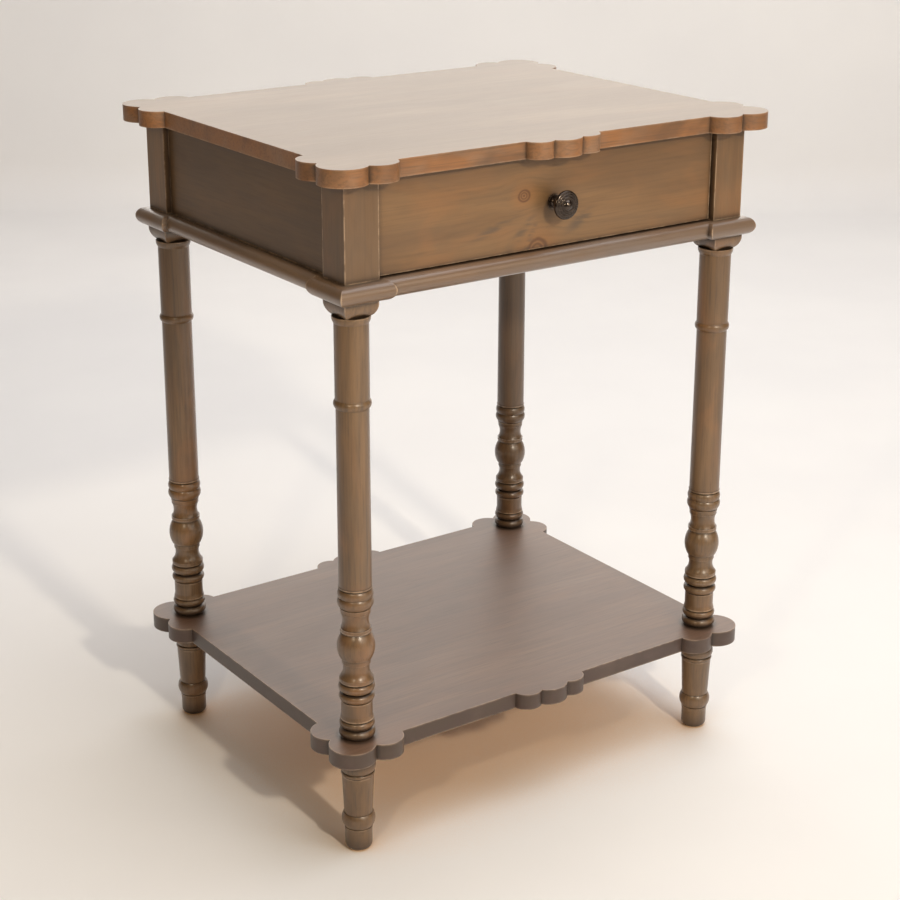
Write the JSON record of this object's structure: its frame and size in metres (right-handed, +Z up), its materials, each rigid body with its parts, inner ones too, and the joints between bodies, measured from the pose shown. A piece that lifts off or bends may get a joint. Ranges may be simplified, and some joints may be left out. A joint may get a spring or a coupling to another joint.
{
  "type": "side table",
  "caption": "Side table on turned legs with a scalloped top and matching lower shelf, a case with a rounded waist moulding, and a sliding drawer with a round metal knob.",
  "frame": {"origin": "on the floor under the middle of the table", "axes": "+Z up, +X to the right when facing the drawer, -Y towards the drawer side"},
  "size_m": [0.539, 0.4388, 0.711],
  "materials": {
    "wood_boards": "satin",
    "wood_case": "satin",
    "wood_turned": "satin",
    "wood_inner": "matte",
    "plywood": "matte",
    "bronze": "dark oiled",
    "steel": "zinc plated"
  },
  "bodies": {
    "table": {"top_panel": "wood_boards", "lower_shelf": "wood_boards", "post_front_left": "wood_case", "post_front_right": "wood_case", "post_back_left": "wood_case", "post_back_right": "wood_case", "waist_front": "wood_case", "waist_back": "wood_case", "waist_left": "wood_case", "waist_right": "wood_case", "dust_panel": "plywood", "side_left": "wood_case", "side_right": "wood_case", "back_panel": "wood_case", "cross_rail": "wood_inner", "kicker_left": "wood_inner", "kicker_right": "wood_inner", "guide_left": "wood_inner", "guide_right": "wood_inner", "drawer_stops": "wood_inner", "leg_front_left": "wood_turned", "leg_front_right": "wood_turned", "leg_back_left": "wood_turned", "leg_back_right": "wood_turned", "foot_front_left": "wood_turned", "foot_front_right": "wood_turned", "foot_back_left": "wood_turned", "foot_back_right": "wood_turned", "leg_bolts": "steel", "post_bolts": "steel", "top_screws": "steel"},
    "drawer": {"drawer_front": "wood_case", "drawer_side_left": "wood_inner", "drawer_side_right": "wood_inner", "drawer_back": "wood_inner", "drawer_bottom": "plywood", "stop_button": "wood_inner", "knob": "bronze", "knob_rosette": "bronze", "knob_screw": "steel"}
  },
  "joints": [
    {"name": "drawer_slide", "type": "slide", "parent": "table", "child": "drawer", "axis": [0, -1, 0], "range_m": [0, 0.25]}
  ]
}
